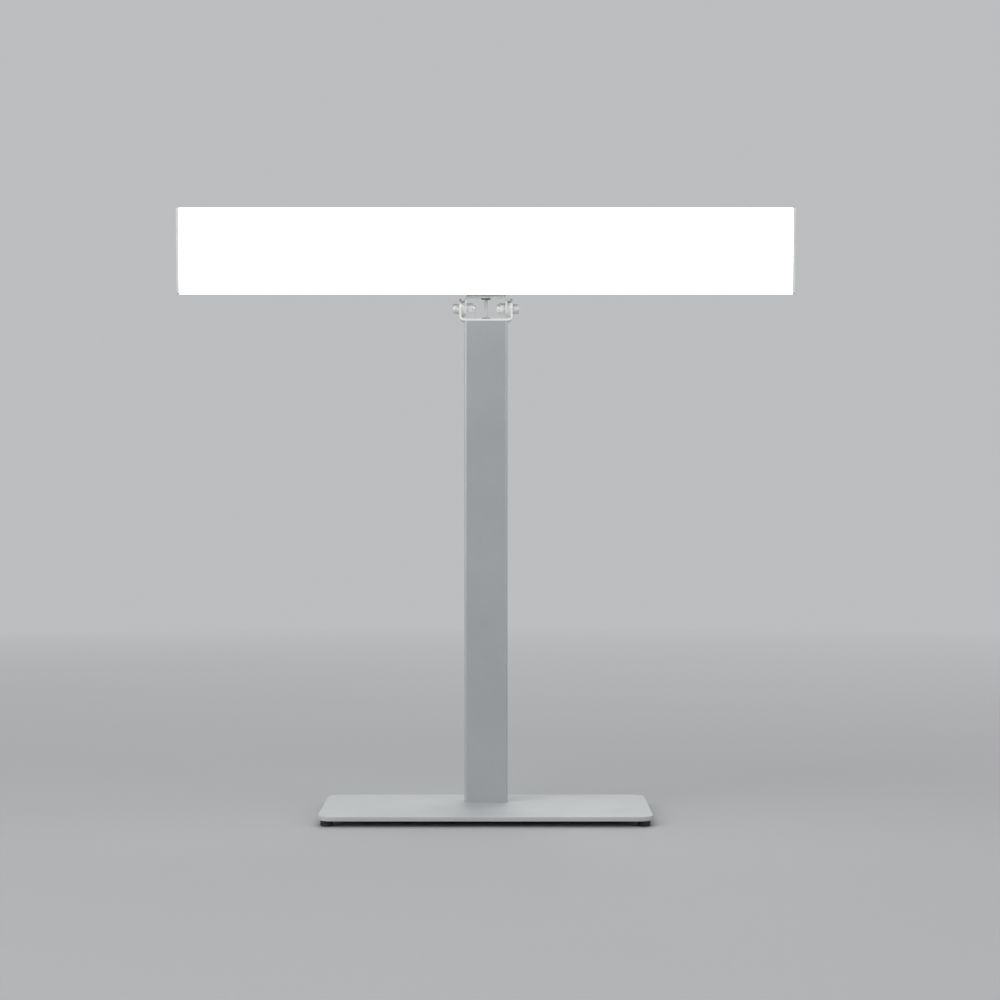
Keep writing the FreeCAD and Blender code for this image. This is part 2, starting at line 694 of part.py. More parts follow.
def housing_outline():
    """The channel's cross-section: walls, the grooves for the cover, the bosses and the carrier's slots."""
    groove_floor = HEAD_FLOOR - CLIP_BARB - CLIP_GAP
    boss_top = HEAD_FLOOR + FRONT_BOSS_HEIGHT
    rib_top = HEAD_FLOOR + SLOT_RIB_HEIGHT
    rear_boss_low = UNDERSIDE + REAR_BOSS_TO_UNDERSIDE - REAR_BOSS / 2
    rear_boss_high = rear_boss_low + REAR_BOSS
    return mirrored_outline(
        [
            (HEAD_INSIDE_BACK, rear_boss_high),
            (REAR_BOSS_FRONT, rear_boss_high),
            (REAR_BOSS_FRONT, rear_boss_low),
            (HEAD_INSIDE_BACK, rear_boss_low),
            (HEAD_INSIDE_BACK, HEAD_FLOOR),
            (SLOT_BACK + SLOT_RIB, HEAD_FLOOR),
            (SLOT_BACK + SLOT_RIB, rib_top),
            (SLOT_BACK, rib_top),
            (SLOT_BACK, HEAD_FLOOR),
            (SLOT_FRONT, HEAD_FLOOR),
            (SLOT_FRONT, boss_top),
            (GROOVE_BACK + CLIP_GAP, boss_top),
            (GROOVE_BACK + CLIP_GAP, HEAD_FLOOR),
            (GROOVE_BACK, HEAD_FLOOR),
            (GROOVE_BACK, groove_floor),
            (GROOVE_FRONT, groove_floor),
            (GROOVE_FRONT, HEAD_FLOOR),
            (SEAM, HEAD_FLOOR),
            (SEAM, UNDERSIDE),
            (HEAD_BACK, UNDERSIDE),
        ]
    )


def head_housing():
    housing = prism_x(housing_outline(), HEAD_LENGTH)
    corners = [Vector(0, HEAD_BACK, UNDERSIDE), Vector(0, HEAD_BACK, HEAD_TOP)]
    housing = housing.makeFillet(HEAD_CORNER_RADIUS, edges_through(housing, RIGHT, *corners))
    for y, z in end_screw_places():
        housing = housing.cut(rod((-HEAD_LENGTH / 2, y, z), RIGHT, SMALL_SCREW, HEAD_LENGTH))
    for place in upper_bracket_screw_places():
        clearance = BRACKET_SCREW + SCREW_CLEARANCE
        housing = housing.cut(rod((place.x, 0, UNDERSIDE), UP, clearance, HOUSING_WALL))
    housing = housing.cut(rod((0, 0, UNDERSIDE), UP, GROMMET_NECK, HOUSING_WALL))
    width, height, _ = SWITCH_BODY
    gap = 2 * SWITCH_CUTOUT_GAP
    cutout = slab(centred(width + gap), (HEAD_INSIDE_BACK, HEAD_BACK), centred(height + gap))
    return on_head(housing.cut(cutout.translated(UP * HEAD_MIDDLE)))


def diffuser():
    """The opal cover: a full-height front, a short return top and bottom, and a barbed clip behind each."""
    clip_floor = HEAD_FLOOR + CLIP_GAP
    barb = CLIP_BACK - CLIP_THICKNESS
    outline = mirrored_outline(
        [
            (FACE, UNDERSIDE),
            (SEAM, UNDERSIDE),
            (SEAM, clip_floor),
            (barb, clip_floor),
            (barb, HEAD_FLOOR - CLIP_BARB),
            (CLIP_BACK, HEAD_FLOOR - CLIP_BARB),
            (CLIP_BACK, clip_floor + CLIP_THICKNESS),
            (DIFFUSER_BACK, clip_floor + CLIP_THICKNESS),
        ]
    )
    cover = prism_x(outline, HEAD_LENGTH)
    corners = [Vector(0, FACE, UNDERSIDE), Vector(0, FACE, HEAD_TOP)]
    return on_head(cover.makeFillet(HEAD_CORNER_RADIUS, edges_through(cover, RIGHT, *corners)))


def end_cap(side):
    """A plate over one end, with the head's rounded outline."""
    inner = side * HEAD_LENGTH / 2
    outer = inner + side * END_CAP_THICKNESS
    plate = slab((min(inner, outer), max(inner, outer)), (FACE, HEAD_BACK), (UNDERSIDE, HEAD_TOP))
    corners = [Vector(0, y, z) for y in (FACE, HEAD_BACK) for z in (UNDERSIDE, HEAD_TOP)]
    plate = plate.makeFillet(HEAD_CORNER_RADIUS, edges_through(plate, RIGHT, *corners))
    for y, z in end_screw_places():
        hole = countersunk_hole((outer, y, z), RIGHT * -side, SMALL_SCREW, END_CAP_THICKNESS)
        plate = plate.cut(hole)
    return on_head(plate)


def end_cap_screws():
    screws = []
    for side in SIDES:
        outer = side * (HEAD_LENGTH / 2 + END_CAP_THICKNESS)
        for y, z in end_screw_places():
            screws.append(
                countersunk_screw((outer, y, z), RIGHT * -side, SMALL_SCREW, SMALL_SCREW_LENGTH)
            )
    return on_head(Part.makeCompound(screws))


def nut_bar():
    """The threaded bar inside the head that the bracket's screws pull on, notched round the grommet."""
    depth = (SLOT_BACK + SLOT_RIB + CLIP_GAP, HEAD_INSIDE_BACK - CLIP_GAP)
    bar = slab(centred(NUT_BAR_LENGTH), depth, (HEAD_FLOOR, HEAD_FLOOR + NUT_BAR_THICKNESS))
    for place in upper_bracket_screw_places():
        bar = bar.cut(rod((place.x, 0, HEAD_FLOOR), UP, BRACKET_SCREW, NUT_BAR_THICKNESS))
    opening = GROMMET_FLANGE + 2 * CLIP_GAP
    bar = bar.cut(rod((0, 0, HEAD_FLOOR), UP, opening, NUT_BAR_THICKNESS))
    notch = slab(centred(opening), (depth[0], 0), (HEAD_FLOOR, HEAD_FLOOR + NUT_BAR_THICKNESS))
    return on_head(bar.cut(notch))


# Light boards

def board_middles():
    return [(i - (BOARD_COUNT - 1) / 2) * BOARD_PITCH for i in range(BOARD_COUNT)]


def board_screw_places():
    """Four screws on each light board, in the gaps between its LEDs."""
    reach = LED_COLUMN_PITCH * (LED_COLUMNS / 2 - 1)
    rise = LED_ROW_PITCH / 2
    return [
        Vector(middle + side * reach, BOARD_FRONT, HEAD_MIDDLE + level * rise)
        for middle in board_middles()
        for side in SIDES
        for level in SIDES
    ]


def board_gaps():
    """The middles of the gaps between neighbouring light boards."""
    return [(i - (BOARD_COUNT - 2) / 2) * BOARD_PITCH for i in range(BOARD_COUNT - 1)]


def led_carrier():
    low = HEAD_FLOOR + CLIP_GAP
    high = HEAD_TOP - HOUSING_WALL - CLIP_GAP
    plate = slab(centred(CARRIER_LENGTH), (CARRIER_FRONT, CARRIER_BACK), (low, high))
    for place in board_screw_places():
        plate = plate.cut(rod(place, BACKWARD, BOARD_SCREW, BOARD_THICKNESS + CARRIER_THICKNESS))
    for place in driver_screw_places():
        plate = plate.cut(rod(place, FORWARD, BOARD_SCREW, DRIVER_BACK - CARRIER_FRONT))
    hole = Vector(board_gaps()[-1], CARRIER_FRONT, HEAD_MIDDLE)
    return on_head(plate.cut(rod(hole, BACKWARD, LEAD_HOLE, CARRIER_THICKNESS)))


def led_boards():
    boards = []
    for middle in board_middles():
        board = slab(centred(BOARD_LENGTH), (BOARD_FRONT, CARRIER_FRONT), centred(BOARD_HEIGHT))
        board = board.translated(Vector(middle, 0, HEAD_MIDDLE))
        for place in board_screw_places():
            board = board.cut(rod(place, BACKWARD, BOARD_SCREW, BOARD_THICKNESS))
        boards.append(board)
    return on_head(Part.makeCompound(boards))


def leds():
    """Rows of small square LEDs on the boards."""
    chips = []
    for middle in board_middles():
        for column in range(LED_COLUMNS):
            for row in range(LED_ROWS):
                x = middle + (column - (LED_COLUMNS - 1) / 2) * LED_COLUMN_PITCH
                z = HEAD_MIDDLE + (row - (LED_ROWS - 1) / 2) * LED_ROW_PITCH
                chip = slab(centred(LED_WIDTH), (LED_FRONT, BOARD_FRONT), centred(LED_HEIGHT))
                chips.append(chip.translated(Vector(x, 0, z)))
    return on_head(Part.makeCompound(chips))


def led_board_screws():
    through = BOARD_THICKNESS + CARRIER_THICKNESS
    return on_head(Part.makeCompound([pan_screw(p, BACKWARD, through) for p in board_screw_places()]))


def board_jumpers():
    """Two wires across each gap between light boards, lying on their faces."""
    wires = []
    for gap in board_gaps():
        for side in SIDES:
            level = HEAD_MIDDLE + side * JUMPER_HEIGHT
            place = (gap - JUMPER_LENGTH / 2, BOARD_FRONT - WIRE_DIAMETER / 2, level)
            wires.append(rod(place, RIGHT, WIRE_DIAMETER, JUMPER_LENGTH))
    return on_head(Part.makeCompound(wires))


# Driver board

def driver_screw_places():
    """Near the corners of the driver board, on its rear face, past the terminals at its left end."""
    left, right, edge = DRIVER_SCREW_INSET
    return [
        Vector(x, DRIVER_BACK, HEAD_MIDDLE + level * (DRIVER_HEIGHT / 2 - edge))
        for x in (DRIVER_LEFT + left, DRIVER_LEFT + DRIVER_LENGTH - right)
        for level in SIDES
    ]


def driver_board():
    board = slab(
        (DRIVER_LEFT, DRIVER_LEFT + DRIVER_LENGTH), (DRIVER_FRONT, DRIVER_BACK), centred(DRIVER_HEIGHT)
    )
    board = board.translated(UP * HEAD_MIDDLE)
    for place in driver_screw_places():
        board = board.cut(rod(place, FORWARD, BOARD_SCREW, BOARD_THICKNESS))
    return on_head(board)


def driver_standoffs():
    spacers = []
    for place in driver_screw_places():
        start = Vector(place.x, CARRIER_BACK, place.z)
        spacers.append(ring(start, BACKWARD, STANDOFF_DIAMETER, BOARD_SCREW, STANDOFF_HEIGHT))
    return on_head(Part.makeCompound(spacers))


def driver_screws():
    through = DRIVER_BACK - CARRIER_FRONT
    return on_head(Part.makeCompound([pan_screw(p, FORWARD, through) for p in driver_screw_places()]))


def on_driver(x, z, size):
    """A block on the back of the driver board, from x to the right and centred on z."""
    length, width, height = size
    block = slab((x, x + length), (DRIVER_BACK, DRIVER_BACK + height), centred(width))
    return block.translated(UP * (HEAD_MIDDLE + z))


def driver_coil():
    """A square coil with a ring-shaped groove round its core."""
    side, _, height = COIL_SIZE
    left = DRIVER_LEFT + COIL_FROM_LEFT
    top = Vector(left + side / 2, DRIVER_BACK + height, HEAD_MIDDLE)
    groove = ring(top, FORWARD, side - COIL_GROOVE, COIL_CORE, COIL_GROOVE)
    return on_head(on_driver(left, 0, COIL_SIZE).cut(groove))


def driver_capacitors():
    """Two round capacitors that stand on the board."""
    cans = []
    for side in SIDES:
        level = HEAD_MIDDLE + side * CAPACITOR_DIAMETER
        place = Vector(DRIVER_LEFT + CAPACITOR_FROM_LEFT, DRIVER_BACK, level)
        can = rod(place, BACKWARD, CAPACITOR_DIAMETER, CAPACITOR_HEIGHT)
        rim = [e for e in can.Edges if e.CenterOfMass.y > DRIVER_BACK + CAPACITOR_HEIGHT - CLOSE]
        cans.append(can.makeFillet(BASE_EDGE_RADIUS, rim))
    return on_head(Part.makeCompound(cans))


def driver_chips():
    """The control chip and two power transistors."""
    control = on_driver(DRIVER_LEFT + CONTROL_CHIP_FROM_LEFT, 0, CONTROL_CHIP)
    left = DRIVER_LEFT + POWER_CHIP_FROM_LEFT
    power = [on_driver(left, side * POWER_CHIP_SPACING / 2, POWER_CHIP) for side in SIDES]
    return on_head(Part.makeCompound([control, *power]))


def terminal_blocks():
    """Two pairs of screw terminals, supply below and switch above, with their wire entries to the left."""
    blocks = []
    for level in SIDES:
        middle = level * TERMINAL_FROM_MIDDLE
        block = on_driver(DRIVER_LEFT, middle, (TERMINAL_LENGTH, TERMINAL_WIDTH, TERMINAL_HEIGHT))
        for z in terminal_levels(level):
            entry = (DRIVER_LEFT, TERMINAL_ENTRY, z)
            block = block.cut(rod(entry, RIGHT, WIRE_DIAMETER, TERMINAL_LENGTH / 2))
            screw = (DRIVER_LEFT + TERMINAL_LENGTH / 2, DRIVER_BACK + TERMINAL_HEIGHT, z)
            block = block.cut(rod(screw, FORWARD, SMALL_SCREW, TERMINAL_HEIGHT / 4))
        blocks.append(block)
    return on_head(Part.makeCompound(blocks))


def terminal_levels(level):
    """The heights of the two wire entries of the supply block (level -1) or the switch block (level 1)."""
    middle = HEAD_MIDDLE + level * TERMINAL_FROM_MIDDLE
    return [middle - TERMINAL_PITCH / 2, middle + TERMINAL_PITCH / 2]


def led_connector():
    return on_head(on_driver(DRIVER_LEFT, 0, LED_CONNECTOR))


# Wiring inside the head

def head_lead():
    """The lead from the bottom of the grommet up into the head, then along it towards the driver board."""
    level = HEAD_MIDDLE - TERMINAL_FROM_MIDDLE
    end = DRIVER_LEFT - JACKET_END_TO_DRIVER
    points = [(0, 0, HEAD_GROMMET_BOTTOM), (0, 0, level), (end, 0, level)]
    return on_head(lead_along("head_lead", points, LEAD_DIAMETER))


def head_lead_tie():
    """The tie just above the nut bar, so that a pull on the lead stops there."""
    bottom = Vector(0, 0, HEAD_FLOOR + NUT_BAR_THICKNESS + CLIP_GAP)
    return on_head(tie_round_lead(bottom))


def supply_cores():
    """The lead's two cores, from the end of its jacket to the supply terminals."""
    start = DRIVER_LEFT - JACKET_END_TO_DRIVER
    level = HEAD_MIDDLE - TERMINAL_FROM_MIDDLE
    cores = []
    for side, entry in zip(SIDES, terminal_levels(-1)):
        inner = level + side * WIRE_DIAMETER / 2
        points = [
            (start, 0, inner),
            (start + CORE_STRAIGHT, 0, inner),
            (DRIVER_LEFT - CORE_STRAIGHT, TERMINAL_ENTRY, entry),
            (DRIVER_LEFT + TERMINAL_LENGTH / 2, TERMINAL_ENTRY, entry),
        ]
        cores.append(lead_along("supply_cores", points, WIRE_DIAMETER))
    return on_head(Part.makeCompound(cores))


def switch_wires():
    """Two wires from the switch's blades, up and along to the switch terminals."""
    depth = HEAD_BACK - SWITCH_BODY[2] - BLADE[1] / 2
    wires = []
    for side, entry in zip(SIDES, reversed(terminal_levels(1))):
        x = side * BLADE_SPACING / 2
        points = [
            (x, depth, HEAD_MIDDLE + BLADE[2] / 2),
            (x, depth, entry),
            (DRIVER_LEFT - WIRE_SHIFT_START, depth, entry),
            (DRIVER_LEFT - WIRE_SHIFT_END, TERMINAL_ENTRY, entry),
            (DRIVER_LEFT + TERMINAL_LENGTH / 2, TERMINAL_ENTRY, entry),
        ]
        wires.append(lead_along("switch_wires", points, WIRE_DIAMETER))
    return on_head(Part.makeCompound(wires))


def led_wires():
    """Two wires from the driver board's connector, through the carrier, to the middle light board."""
    gap = board_gaps()[-1]
    depth = DRIVER_BACK + LED_CONNECTOR[2] / 2
    surface = BOARD_FRONT - WIRE_DIAMETER / 2
    wires = []
    for side in SIDES:
        z = HEAD_MIDDLE + side * LED_PITCH_AT_CONNECTOR / 2
        points = [
            (DRIVER_LEFT, depth, z),
            (gap, depth, z),
            (gap, surface, z),
            (gap - JUMPER_LENGTH / 2, surface, z),
        ]
        wires.append(lead_along("led_wires", points, WIRE_DIAMETER))
    return on_head(Part.makeCompound(wires))


# Rocker switch

def switch_housing():
    """The switch's rim on the back of the head, and its body with the well that the rocker sits in."""
    rim_x, rim_z, rim_y = SWITCH_BEZEL
    body_x, body_z, body_y = SWITCH_BODY
    window_x, window_z = SWITCH_WINDOW
    rim = slab(centred(rim_x), (HEAD_BACK, HEAD_BACK + rim_y), centred(rim_z))
    outer = [e for e in rim.Edges if e.CenterOfMass.y > HEAD_BACK + rim_y - CLOSE]
    rim = rim.makeFillet(BASE_EDGE_RADIUS, outer)
    body = slab(centred(body_x), (HEAD_BACK - body_y, HEAD_BACK), centred(body_z))
    well = slab(centred(window_x), (HEAD_BACK - SWITCH_WELL, HEAD_BACK + rim_y), centred(window_z))
    stub_hole = ROCKER_STUB_DIAMETER + 2 * ROCKER_STUB_GAP
    reach = ROCKER_WIDTH + 2 * ROCKER_STUB_LENGTH + 2 * CLIP_GAP
    pivot = (0, HEAD_BACK - ROCKER_PIVOT_DEPTH, -reach / 2)
    housing = rim.fuse(body).cut(well).cut(rod(pivot, UP, stub_hole, reach))
    return on_head(housing.translated(UP * HEAD_MIDDLE))


def switch_blades():
    thickness, length, width = BLADE
    front = HEAD_BACK - SWITCH_BODY[2]
    blades = []
    for side in SIDES:
        blade = slab(centred(thickness), (front - length, front), centred(width))
        blades.append(blade.translated(Vector(side * BLADE_SPACING / 2, 0, HEAD_MIDDLE)))
    return on_head(Part.makeCompound(blades))


def switch_rocker():
    """The rocker, two flat faces that meet in a shallow valley over its pivot, with one side pressed in."""
    half = ROCKER_LENGTH / 2
    end = ROCKER_ABOVE_PIVOT + half * math.tan(math.radians(ROCKER_ANGLE))
    outline = [
        Vector(x, y, -ROCKER_WIDTH / 2)
        for x, y in (
            (-half, -ROCKER_BELOW_PIVOT),
            (half, -ROCKER_BELOW_PIVOT),
            (half, end),
            (0, ROCKER_ABOVE_PIVOT),
            (-half, end),
        )
    ]
    body = Part.Face(Part.makePolygon(outline + outline[:1])).extrude(Vector(0, 0, ROCKER_WIDTH))
    stubs = ROCKER_WIDTH + 2 * ROCKER_STUB_LENGTH
    body = body.fuse(rod((0, 0, -stubs / 2), UP, ROCKER_STUB_DIAMETER, stubs))
    body.rotate(Vector(0, 0, 0), UP, -ROCKER_ANGLE)
    return on_head(body.translated(Vector(0, HEAD_BACK - ROCKER_PIVOT_DEPTH, HEAD_MIDDLE)))


NODES = {
    "base_plate": base_plate,
    "rubber_feet": rubber_feet,
    "base_screws": base_screws,
    "post_tube": post_tube,
    "post_bottom_insert": post_bottom_insert,
    "post_top_insert": post_top_insert,
    "insert_screws": insert_screws,
    "inlet_housing": inlet_housing,
    "inlet_pin": inlet_pin,
    "inlet_contacts": inlet_contacts,
    "post_lead": post_lead,
    "post_lead_tie": post_lead_tie,
    "lower_bracket": lower_bracket,
    "lower_bracket_screws": lower_bracket_screws,
    "post_grommet": post_grommet,
    "pivot_screws": pivot_screws,
    "friction_washers": friction_washers,
    "inner_washers": inner_washers,
    "lock_nuts": lock_nuts,
    "nut_rings": nut_rings,
    "hinge_lead": hinge_lead,
    "upper_bracket": upper_bracket,
    "bracket_pad": bracket_pad,
    "upper_bracket_screws": upper_bracket_screws,
    "nut_bar": nut_bar,
    "head_grommet": head_grommet,
    "head_housing": head_housing,
    "diffuser": diffuser,
    "end_cap_left": lambda: end_cap(-1),
    "end_cap_right": lambda: end_cap(1),
    "end_cap_screws": end_cap_screws,
    "led_carrier": led_carrier,
    "led_boards": led_boards,
    "leds": leds,
    "led_board_screws": led_board_screws,
    "board_jumpers": board_jumpers,
    "driver_board": driver_board,
    "driver_standoffs": driver_standoffs,
    "driver_screws": driver_screws,
    "driver_coil": driver_coil,
    "driver_capacitors": driver_capacitors,
    "driver_chips": driver_chips,
    "terminal_blocks": terminal_blocks,
    "led_connector": led_connector,
    "head_lead": head_lead,
    "head_lead_tie": head_lead_tie,
    "supply_cores": supply_cores,
    "switch_wires": switch_wires,
    "led_wires": led_wires,
    "switch_housing": switch_housing,
    "switch_blades": switch_blades,
    "switch_rocker": switch_rocker,
}

os.makedirs("parts", exist_ok=True)
for name, make in NODES.items():
    shape = make()
    assert shape.isValid(), f"{name} isn't a valid shape"
    shape.exportStep(f"parts/{name}.step")
    box = shape.BoundBox
    print(
        f"{name}: {len(shape.Solids)} solids, {shape.Volume / 1000:.2f} cm3,"
        f" x {box.XMin:.1f} {box.XMax:.1f}, y {box.YMin:.1f} {box.YMax:.1f}, z {box.ZMin:.1f} {box.ZMax:.1f}"
    )
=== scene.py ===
"""Looks of the light therapy lamp: finishes, fine detail on the hinge and switch, floor, light and camera.

Metres, in the frame of the construction: the origin is on the table under the middle of the base, +Z is up
and the light faces -Y.
"""

import json
import math

import bmesh
import bpy
from mathutils import Matrix, Vector


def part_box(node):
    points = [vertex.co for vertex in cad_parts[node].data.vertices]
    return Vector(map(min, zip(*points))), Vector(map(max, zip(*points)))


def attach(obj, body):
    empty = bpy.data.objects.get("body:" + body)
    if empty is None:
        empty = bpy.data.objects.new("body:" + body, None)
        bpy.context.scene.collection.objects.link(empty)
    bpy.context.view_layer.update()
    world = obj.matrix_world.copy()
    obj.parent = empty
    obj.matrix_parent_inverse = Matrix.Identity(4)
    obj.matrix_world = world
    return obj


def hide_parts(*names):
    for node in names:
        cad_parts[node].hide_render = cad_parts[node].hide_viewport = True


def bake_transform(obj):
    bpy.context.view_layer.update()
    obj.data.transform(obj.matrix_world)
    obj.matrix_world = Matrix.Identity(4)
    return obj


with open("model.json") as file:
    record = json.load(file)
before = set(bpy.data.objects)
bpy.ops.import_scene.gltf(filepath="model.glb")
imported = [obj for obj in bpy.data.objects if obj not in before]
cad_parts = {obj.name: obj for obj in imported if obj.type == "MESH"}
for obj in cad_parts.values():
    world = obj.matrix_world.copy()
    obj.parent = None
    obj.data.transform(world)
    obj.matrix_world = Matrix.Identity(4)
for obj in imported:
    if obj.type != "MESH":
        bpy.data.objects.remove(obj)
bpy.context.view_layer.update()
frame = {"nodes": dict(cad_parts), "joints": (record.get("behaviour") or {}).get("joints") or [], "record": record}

NODES = frame["nodes"]
BODIES = frame["record"]["behaviour"]["bodies"]
SLOTS = {name: node.material_slots[0].material.name.split(".")[0] for name, node in NODES.items()}
JOINTS = {joint["name"]: joint for joint in frame["joints"]}
PIVOT = Vector(JOINTS["head_tilt"]["pos_m"])
ROCKER_PIVOT = Vector(JOINTS["switch_rock"]["pos_m"])

MM = 0.001
MICRON = 0.001 * MM

# The lamp's sides, by their sign along X
ACROSS = Vector((1, 0, 0))
LEFT = -1
RIGHT = 1
SIDES = {"left": LEFT, "right": RIGHT}

# The head leans forward by this much at rest
TILT = math.radians(4.5)
HEAD_TURN = Matrix.Rotation(TILT, 4, "X")

# Pivot screws, M6 with a knurled head
SCREW_HEAD_RADIUS = 5 * MM
SCREW_HEAD_HEIGHT = 6 * MM
SCREW_HEAD_CHAMFER = 0.5 * MM
SCREW_SHANK_RADIUS = 3 * MM
SCREW_SHANK_LENGTH = 16 * MM
SCREW_PLAIN_LENGTH = SCREW_SHANK_LENGTH / 3
KNURLS = 40
KNURL_DEPTH = 0.16 * MM
POINTS_PER_KNURL = 6
THREAD_PITCH = 1 * MM
THREAD_DEPTH = 0.4 * MM

# The hexagon socket in a pivot screw's head, with the drill's cone at its end
SOCKET_ACROSS_FLATS = 5 * MM
SOCKET_DEPTH = 3 * MM
SOCKET_CHAMFER = SCREW_HEAD_CHAMFER / 2
SOCKET_MOUTH_RADIUS = SOCKET_ACROSS_FLATS / math.sqrt(3) + SCREW_HEAD_CHAMFER / 3
SOCKET_TIP_RADIUS = SOCKET_ACROSS_FLATS / 20
SOCKET_TIP_DEPTH = SOCKET_DEPTH + SOCKET_ACROSS_FLATS / 6

# Lock nuts, a chamfered hexagon with a round collar over the nylon ring
NUT_ACROSS_FLATS = 10 * MM
NUT_HEIGHT = 7.5 * MM
NUT_CHAMFER_RADIUS = 4.75 * MM
NUT_CHAMFER_SLOPE = math.tan(math.radians(30))
NUT_COLLAR_RADIUS = 4.7 * MM
NUT_COLLAR_HEIGHT = 2.4 * MM
NUT_COLLAR_STEPS = 6
NUT_RING_RADIUS = 4 * MM
NUT_RING_HEIGHT = 2 * MM
NUT_BORE_RADIUS = 3 * MM
NUT_BORE_CHAMFER = 0.5 * MM
NUT_POINTS = 96

# Where the hinge's parts lie across the lamp
HINGE_OUTSIDE = 26 * MM
NUT_OUTSIDE = 18 * MM

# The lead across the hinge, between the two grommets
LEAD_RADIUS = 1.5 * MM
LEAD_RINGS = 24
LEAD_POINTS = 20

# Marks on the switch's rocker
MARK_HEIGHT = 0.12 * MM
MARK_STROKE = 0.5 * MM
MARK_SIZE = 3.2 * MM
MARK_FROM_MIDDLE = 3.9 * MM
MARK_TOP_TAPER = 0.8
MARK_POINTS = 40
ROCKER_ABOVE_PIVOT = 3.2 * MM
ROCKER_ANGLE = math.radians(8)

# Points of a new mesh and of a packed one that lie nearer than this are joined
MERGE_DISTANCE = 0.1 * MICRON
PACKED_MERGE_DISTANCE = 1 * MICRON

# Edges of a new mesh that stay sharp, and faces of a packed one that count as flat
SHARP_ANGLE = math.radians(32)
FLAT_ANGLE = math.radians(1)

# How far the edges of sheet-metal and moulded pieces are rounded off
SOFTENED = {
    "lower_bracket": 0.3 * MM,
    "upper_bracket": 0.3 * MM,
    "bracket_pad": 0.25 * MM,
    "friction_washers": 0.3 * MM,
    "inner_washers": 0.15 * MM,
    "end_cap_left": 0.3 * MM,
    "end_cap_right": 0.3 * MM,
    "post_tube": 0.2 * MM,
    "switch_housing": 0.2 * MM,
    "switch_rocker": 0.25 * MM,
    "inlet_housing": 0.25 * MM,
}
SOFTENED_FROM_ANGLE = math.radians(50)
SOFTENED_SEGMENTS = 2
FLAT_FACE_WEIGHT = 90

# Camera, from the photograph: level, a little to the right of the middle
CAMERA_PLACE = Vector((0.0137, -2.172, 0.305))
CAMERA_LENS = 80.9

# Floor and background
FLOOR_RADIUS = 6.0
FLOOR_POINTS = 96
FLOOR_COLOUR = (0.42, 0.425, 0.43)
FLOOR_SPECKLE = 0.015
FLOOR_FADE = (0.6, 3.2)
BACKGROUND = (0.50, 0.51, 0.52)
AMBIENT = 0.34

# Lamps: place, size in metres, power in watts
LAMPS = {
    "key_lamp": ((-1.6, -2.0, 2.8), 3.0, 54),
    "back_lamp": ((0.6, 2.4, 2.6), 2.8, 38),
    "left_lamp": ((-2.5, -1.5, 1.1), 1.7, 24),
    "right_lamp": ((2.5, -1.6, 1.1), 1.6, 20),
}
LAMPS_AIM = Vector((0, 0, 0.3))

# Most values of a noise lie in this span
NOISE_SPAN = (0.3, 0.7)


# Materials

class Nodes:
    """A material's node tree, with short ways to add nodes and link them."""

    def __init__(self, name):
        self.material = bpy.data.materials.new(name)
        self.material.use_nodes = True
        self.tree = self.material.node_tree
        self.shader = self.tree.nodes["Principled BSDF"]
        self.place = self.add("ShaderNodeTexCoord").outputs["Object"]

    def add(self, kind, **settings):
        node = self.tree.nodes.new(kind)
        for key, value in settings.items():
            setattr(node, key, value)
        return node

    def join(self, output, socket):
        self.tree.links.new(output, socket)

    def stretched(self, scale):
        """The surface's place, with each axis scaled."""
        mapping = self.add("ShaderNodeMapping")
        mapping.inputs["Scale"].default_value = scale
        self.join(self.place, mapping.inputs["Vector"])
        return mapping.outputs["Vector"]

    def noise(self, scale, detail=3.0, roughness=0.5, vector=None):
        texture = self.add("ShaderNodeTexNoise")
        texture.inputs["Scale"].default_value = scale
        texture.inputs["Detail"].default_value = detail
        texture.inputs["Roughness"].default_value = roughness
        self.join(vector or self.place, texture.inputs["Vector"])
        return texture.outputs["Fac"]

    def cells(self, scale):
        """A number for each cell, from 0 to 1."""
        texture = self.add("ShaderNodeTexVoronoi")
        texture.inputs["Scale"].default_value = scale
        self.join(self.place, texture.inputs["Vector"])
        parts = self.add("ShaderNodeSeparateColor")
        self.join(texture.outputs["Color"], parts.inputs["Color"])
        return parts.outputs["Red"]

    def waves(self, scale, distortion=0.0, **settings):
        texture = self.add("ShaderNodeTexWave", **settings)
        texture.inputs["Scale"].default_value = scale
        texture.inputs["Distortion"].default_value = distortion
        self.join(self.place, texture.inputs["Vector"])
        return texture.outputs["Fac"]

    def ramp(self, value, low, high, span=(0.0, 1.0)):
        """The part of value inside span, spread from low to high."""
        node = self.add("ShaderNodeMapRange")
        node.inputs["From Min"].default_value = span[0]
        node.inputs["From Max"].default_value = span[1]
        node.inputs["To Min"].default_value = low
        node.inputs["To Max"].default_value = high
        self.join(value, node.inputs["Value"])
        return node.outputs["Result"]

    def mix(self, share, first, second):
        """A colour between two, by share. Each colour is three numbers or an output."""
        node = self.add("ShaderNodeMix", data_type="RGBA")
        self.join(share, node.inputs["Factor"])
        colour_sockets = [socket for socket in node.inputs if socket.type == "RGBA"]
        for socket, colour in zip(colour_sockets, (first, second)):
            if isinstance(colour, tuple):
                socket.default_value = (*colour, 1)
            else:
                self.join(colour, socket)
        return next(output for output in node.outputs if output.type == "RGBA")

    def bump(self, height, depth, under=None):
        """A bump of depth metres, on top of the bump that under gives."""
        node = self.add("ShaderNodeBump")
        node.inputs["Strength"].default_value = 1
        node.inputs["Distance"].default_value = depth
        self.join(height, node.inputs["Height"])
        if under:
            self.join(under, node.inputs["Normal"])
        return node.outputs["Normal"]

    def finish(self, colour, roughness, normal=None, **values):
        self.join(colour, self.shader.inputs["Base Color"])
        self.join(roughness, self.shader.inputs["Roughness"])
        if normal:
            self.join(normal, self.shader.inputs["Normal"])
        for key, value in values.items():
            self.shader.inputs[key.replace("_", " ")].default_value = value
        return self.material


